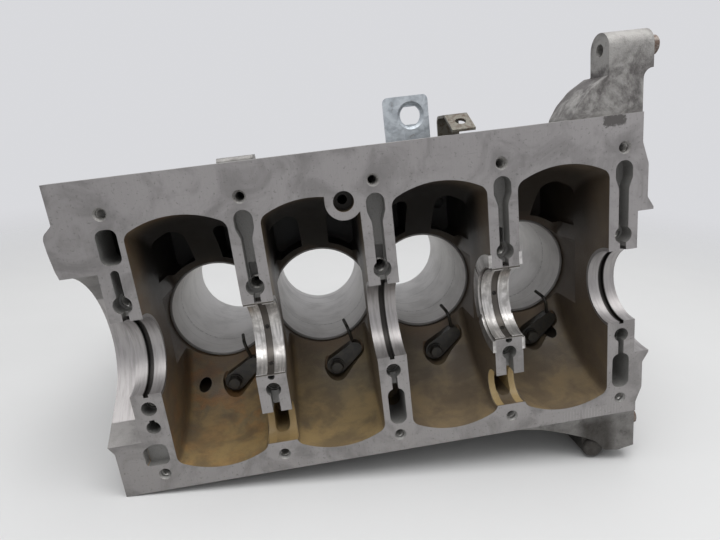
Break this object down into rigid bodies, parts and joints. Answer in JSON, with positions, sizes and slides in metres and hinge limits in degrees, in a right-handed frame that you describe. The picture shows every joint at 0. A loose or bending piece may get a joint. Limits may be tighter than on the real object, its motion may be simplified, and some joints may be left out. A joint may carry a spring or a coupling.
{
  "type": "engine block",
  "caption": "Bare aluminium four-cylinder engine block, crankcase side open, with iron liners, oil jets, two bearing shells and two sheet brackets.",
  "frame": {"origin": "on the crank axis in the crankcase joint face, at the middle main bearing", "axes": "+X along the crank to the transmission end, +Y along the bores from the joint face to the head face, +Z across, away from the flank that the block lies on"},
  "size_m": [0.4483, 0.2365, 0.3475],
  "materials": {
    "cast_alloy": "as cast and machined, oil stained",
    "liner_iron": "honed",
    "jet_steel": "oil blackened",
    "shell_metal": "worn bearing surface",
    "zinc_sheet": "galvanised",
    "worn_sheet": "dull with rust spots",
    "screw_steel": "plated",
    "dowel_steel": "lightly rusted",
    "copper_washer": "dull"
  },
  "bodies": {
    "root": {"cylinder_block": "cast_alloy", "cylinder_liner_1": "liner_iron", "cylinder_liner_2": "liner_iron", "cylinder_liner_3": "liner_iron", "cylinder_liner_4": "liner_iron", "oil_jet_1": "jet_steel", "oil_jet_2": "jet_steel", "oil_jet_3": "jet_steel", "oil_jet_4": "jet_steel", "oil_jet_screws": "jet_steel", "main_bearing_shell_2": "shell_metal", "main_bearing_shell_4": "shell_metal", "thrust_washer_front": "shell_metal", "thrust_washer_rear": "shell_metal", "harness_bracket": "zinc_sheet", "clip_bracket": "worn_sheet", "bracket_screws": "screw_steel", "bell_housing_dowels": "dowel_steel", "head_dowels": "dowel_steel", "oil_gallery_plug_front": "screw_steel", "oil_gallery_plug_rear": "screw_steel", "coolant_drain_bolt": "screw_steel", "coolant_drain_washer": "copper_washer"}
  },
  "joints": []
}
